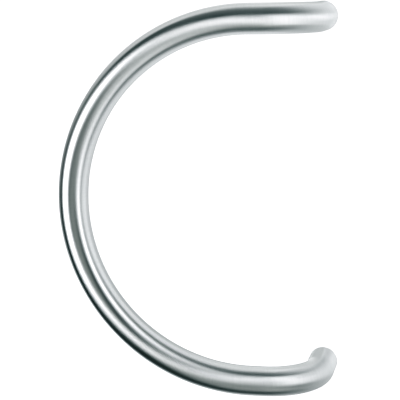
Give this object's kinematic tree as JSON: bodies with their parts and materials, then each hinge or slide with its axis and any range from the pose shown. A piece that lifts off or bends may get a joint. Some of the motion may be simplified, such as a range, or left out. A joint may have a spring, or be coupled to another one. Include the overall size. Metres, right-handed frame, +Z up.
{
  "type": "door pull handle",
  "caption": "C-shaped door pull handle of bent round steel tube, with both ends turned back square to the door and threaded for bolts from behind.",
  "frame": {"origin": "on the door's face, midway between the two fixing holes", "axes": "+Y into the door, square to its face, and the handle stands out towards -Y; +Z up, along the line of the two fixing holes; the C bulges towards -X and opens towards +X"},
  "size_m": [0.2275, 0.08, 0.325],
  "materials": {
    "satin_tube": "satin-ground stainless steel",
    "turned_insert": "turned stainless steel"
  },
  "bodies": {
    "root": {"bow_tube": "satin_tube", "upper_end_insert": "turned_insert", "lower_end_insert": "turned_insert"}
  },
  "joints": []
}
